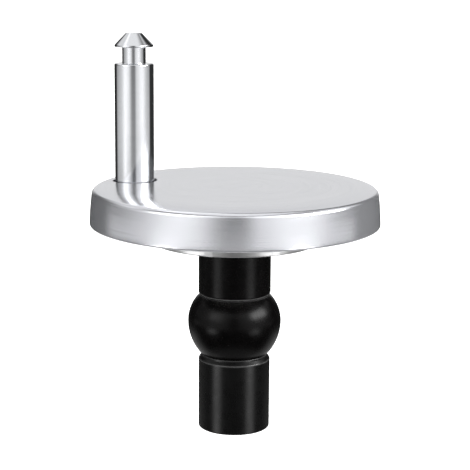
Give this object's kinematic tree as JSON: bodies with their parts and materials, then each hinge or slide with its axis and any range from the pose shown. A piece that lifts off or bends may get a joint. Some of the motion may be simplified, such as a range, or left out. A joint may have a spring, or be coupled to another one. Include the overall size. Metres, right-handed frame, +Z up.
{
  "type": "toilet seat hinge",
  "caption": "Round-capped toilet seat hinge with an off-centre grooved pin above and an expanding rubber plug below that grips in the pan's hole.",
  "frame": {"origin": "on the axis of the pan's fixing hole, at the surface of the pan, which is the underside of the foot gasket", "axes": "+Z up out of the pan along the plug's axis; the hinge pin stands off centre on the -X side; XZ is a plane of symmetry"},
  "size_m": [0.055, 0.055, 0.0753],
  "materials": {
    "satin_stainless": "stainless sheet, finely spun satin",
    "polished_chrome": "turned and polished, chrome plated",
    "zinc_plated_steel": "bright zinc plated",
    "nickel_plated_zinc": "die-cast zinc, tumbled and nickel plated",
    "ring_rubber": "smooth black rubber",
    "soft_white_plastic": "soft translucent white plastic",
    "stainless_fastener": "cold formed stainless, bright",
    "black_rubber": "black moulded rubber, slightly mottled",
    "black_nylon": "black moulded nylon, satin",
    "insert_brass": "turned brass"
  },
  "bodies": {
    "plug": {"expansion_sleeve": "black_rubber", "foot_gasket": "soft_white_plastic"},
    "base": {"base_plate": "nickel_plated_zinc", "hinge_pin": "polished_chrome", "pin_screw": "zinc_plated_steel", "cap_grip_ring": "ring_rubber", "bolt_washer": "stainless_fastener"},
    "cap": {"cover_cap": "satin_stainless"},
    "bolt": {"clamp_bolt": "stainless_fastener"},
    "nut": {"clamp_nut": "black_nylon", "nut_insert": "insert_brass"}
  },
  "joints": [
    {"name": "base_swivel", "type": "hinge", "parent": "plug", "child": "base", "pos_m": [0, 0, 0], "axis": [0, 0, 1], "continuous": true},
    {"name": "cap_lift", "type": "slide", "parent": "base", "child": "cap", "axis": [0, 0, 1], "range_m": [0, 0.03]},
    {"name": "bolt_turn", "type": "hinge", "parent": "plug", "child": "bolt", "pos_m": [0, 0, 0], "axis": [0, 0, 1], "range_deg": [0, 1800]},
    {"name": "nut_draw", "type": "slide", "parent": "plug", "child": "nut", "axis": [0, 0, -1], "range_m": [0, 0.005], "deforming": ["expansion_sleeve"]}
  ],
  "couplings": [
    {"joint": "bolt_turn", "follows": "nut_draw", "rad_per_m": 6283.2}
  ]
}
